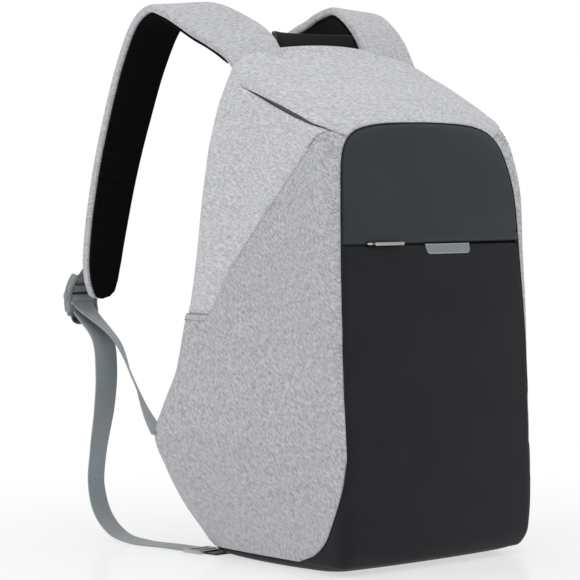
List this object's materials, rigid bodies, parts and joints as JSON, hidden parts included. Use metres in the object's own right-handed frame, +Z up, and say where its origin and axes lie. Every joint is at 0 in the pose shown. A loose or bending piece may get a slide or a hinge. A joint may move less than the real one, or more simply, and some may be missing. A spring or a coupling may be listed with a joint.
{
  "type": "backpack",
  "caption": "Wedge-shaped anti theft backpack in grey cloth with a dark front panel, hidden side slits, padded shoulder straps, a top handle and slack webbing tails.",
  "frame": {"origin": "middle of the base's flat underside, where the bag stands", "axes": "+Z up, -Y towards the front panel, -X to the wearer's strap on the left in the picture; the YZ plane is the bag's middle plane"},
  "size_m": [0.3086, 0.3674, 0.4853],
  "materials": {
    "grey_cloth": "melange grey woven shell cloth",
    "dark_cloth": "dark charcoal coated cloth",
    "black_mesh": "black padded mesh",
    "webbing": "grey woven webbing with a satin sheen",
    "plastic": "grey moulded plastic",
    "metal": "satin nickel-plated metal",
    "tag": "plain soft grey tag, left bare"
  },
  "bodies": {
    "bag": {"hood": "grey_cloth", "side_gusset_left": "grey_cloth", "side_gusset_right": "grey_cloth", "side_panel_left": "grey_cloth", "side_panel_right": "grey_cloth", "shoulder_strap_left": "grey_cloth", "shoulder_strap_right": "grey_cloth", "base": "dark_cloth", "front_panel_lower": "dark_cloth", "front_panel_upper": "dark_cloth", "carry_handle": "dark_cloth", "slit_facing_left": "dark_cloth", "slit_facing_right": "dark_cloth", "zip_tape": "dark_cloth", "slider_loop_left": "dark_cloth", "slider_loop_right": "dark_cloth", "back_panel": "black_mesh", "strap_lining_left": "black_mesh", "strap_lining_right": "black_mesh", "strap_tab_left": "webbing", "strap_tab_right": "webbing", "fixed_webbing_left": "webbing", "fixed_webbing_right": "webbing", "tail_webbing_left": "webbing", "tail_webbing_right": "webbing", "ladder_lock_left": "plastic", "ladder_lock_right": "plastic", "zip_slider": "metal", "floor_slider_left": "metal", "floor_slider_right": "metal", "front_tag": "tag"},
    "zip_pull": {"zip_pull": "metal"}
  },
  "joints": [
    {"name": "zip_pull_swing", "type": "hinge", "parent": "bag", "child": "zip_pull", "pos_m": [-0.07736, -0.10379, 0.275], "axis": [0, 0, -1], "range_deg": [0, 160]}
  ]
}
